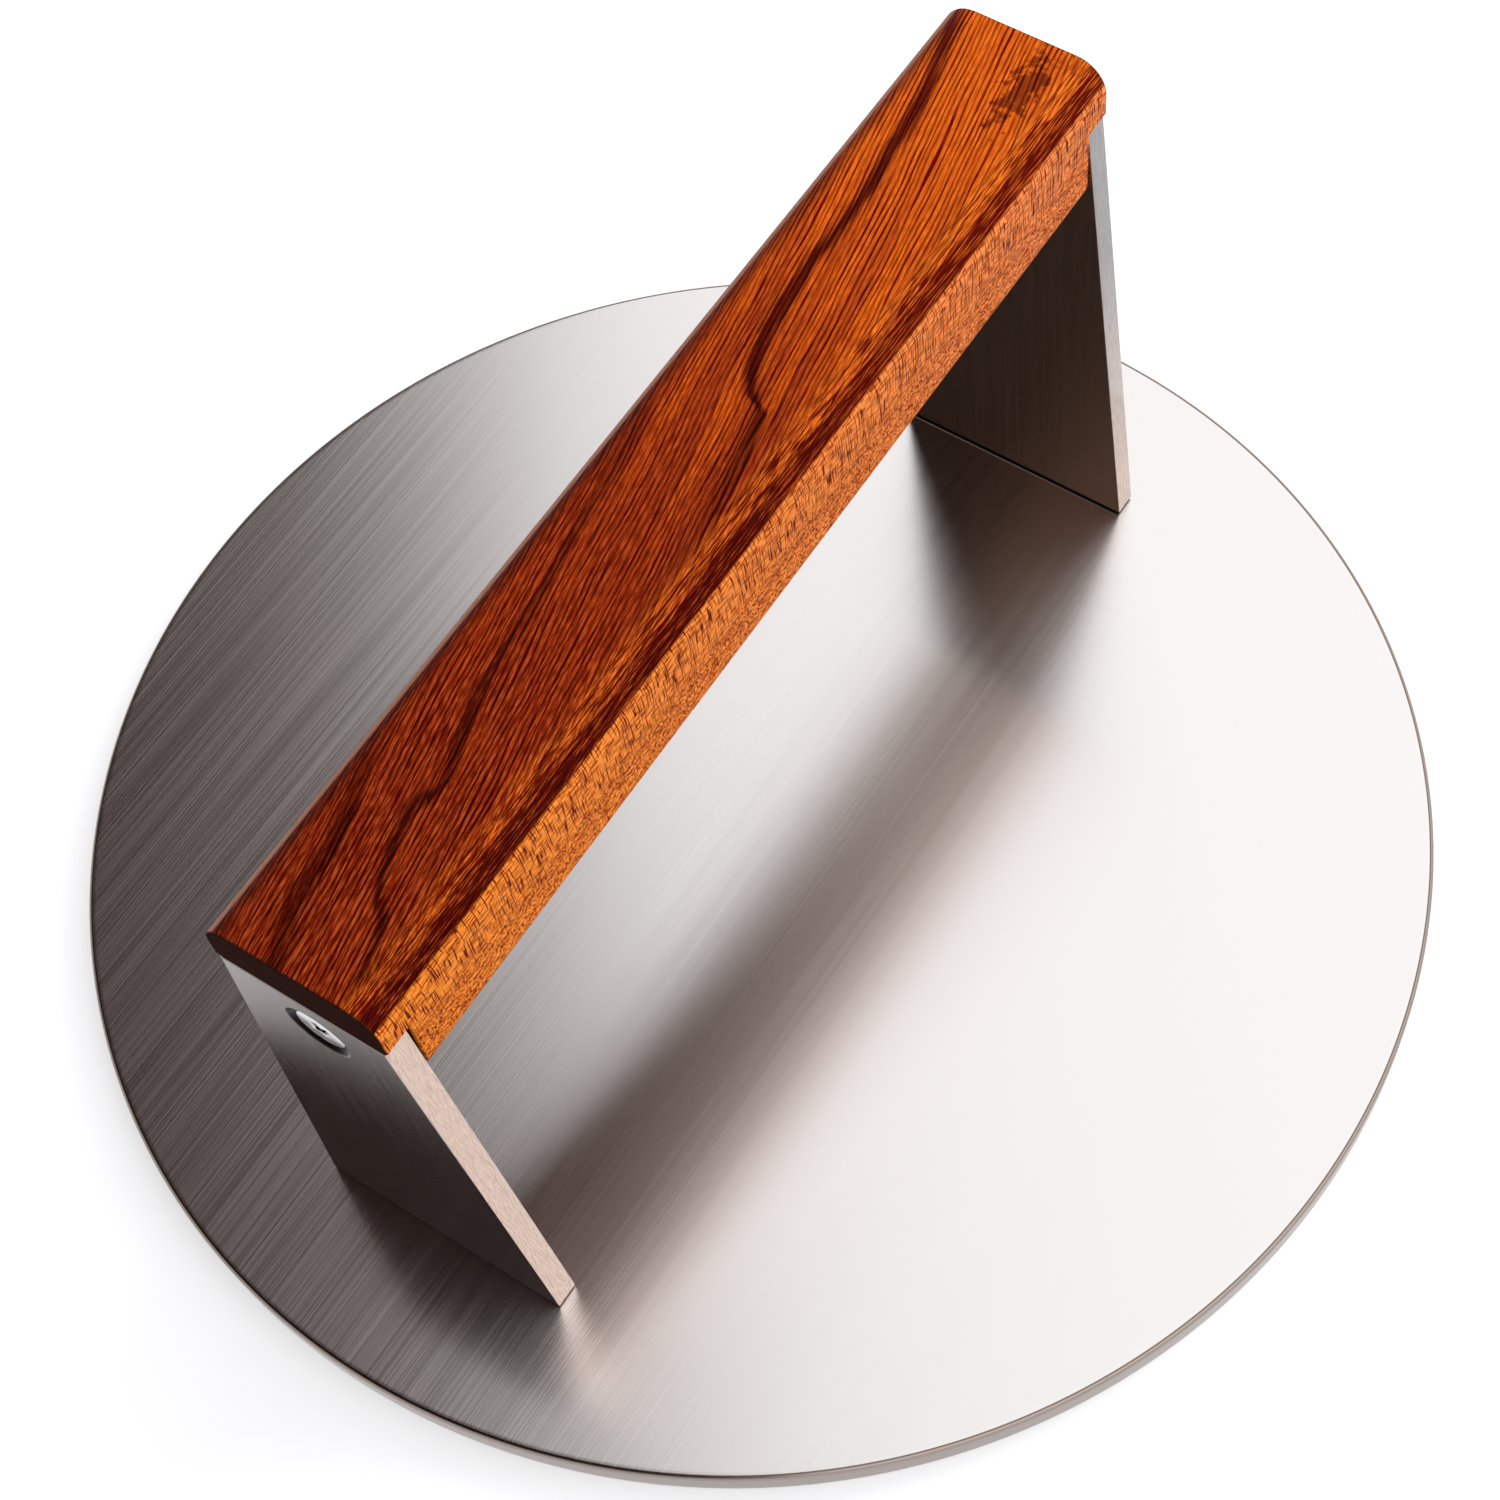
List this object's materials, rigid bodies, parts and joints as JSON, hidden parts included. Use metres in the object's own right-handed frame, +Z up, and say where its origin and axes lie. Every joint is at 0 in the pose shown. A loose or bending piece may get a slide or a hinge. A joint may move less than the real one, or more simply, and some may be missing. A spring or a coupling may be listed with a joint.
{
  "type": "bacon press",
  "caption": "Round bacon press: a flat steel disc with tapered upright steel legs that carry a rounded hardwood bar as the hand grip.",
  "frame": {"origin": "centre of the underside of the disc, the face that presses the food", "axes": "+Z up, square to the disc; +X along the grip; +Y across the grip, through the finger gap"},
  "size_m": [0.156, 0.156, 0.0724],
  "materials": {
    "plate_steel": "straight fine brushed, lines along the grip",
    "leg_steel": "satin, fine grain up the leg",
    "grip_wood": "oiled reddish hardwood, grain along the grip",
    "screw_steel": "bright turned"
  },
  "bodies": {
    "root": {"press_plate": "plate_steel", "left_leg": "leg_steel", "right_leg": "leg_steel", "handle_grip": "grip_wood", "left_screw": "screw_steel", "right_screw": "screw_steel"}
  },
  "joints": []
}
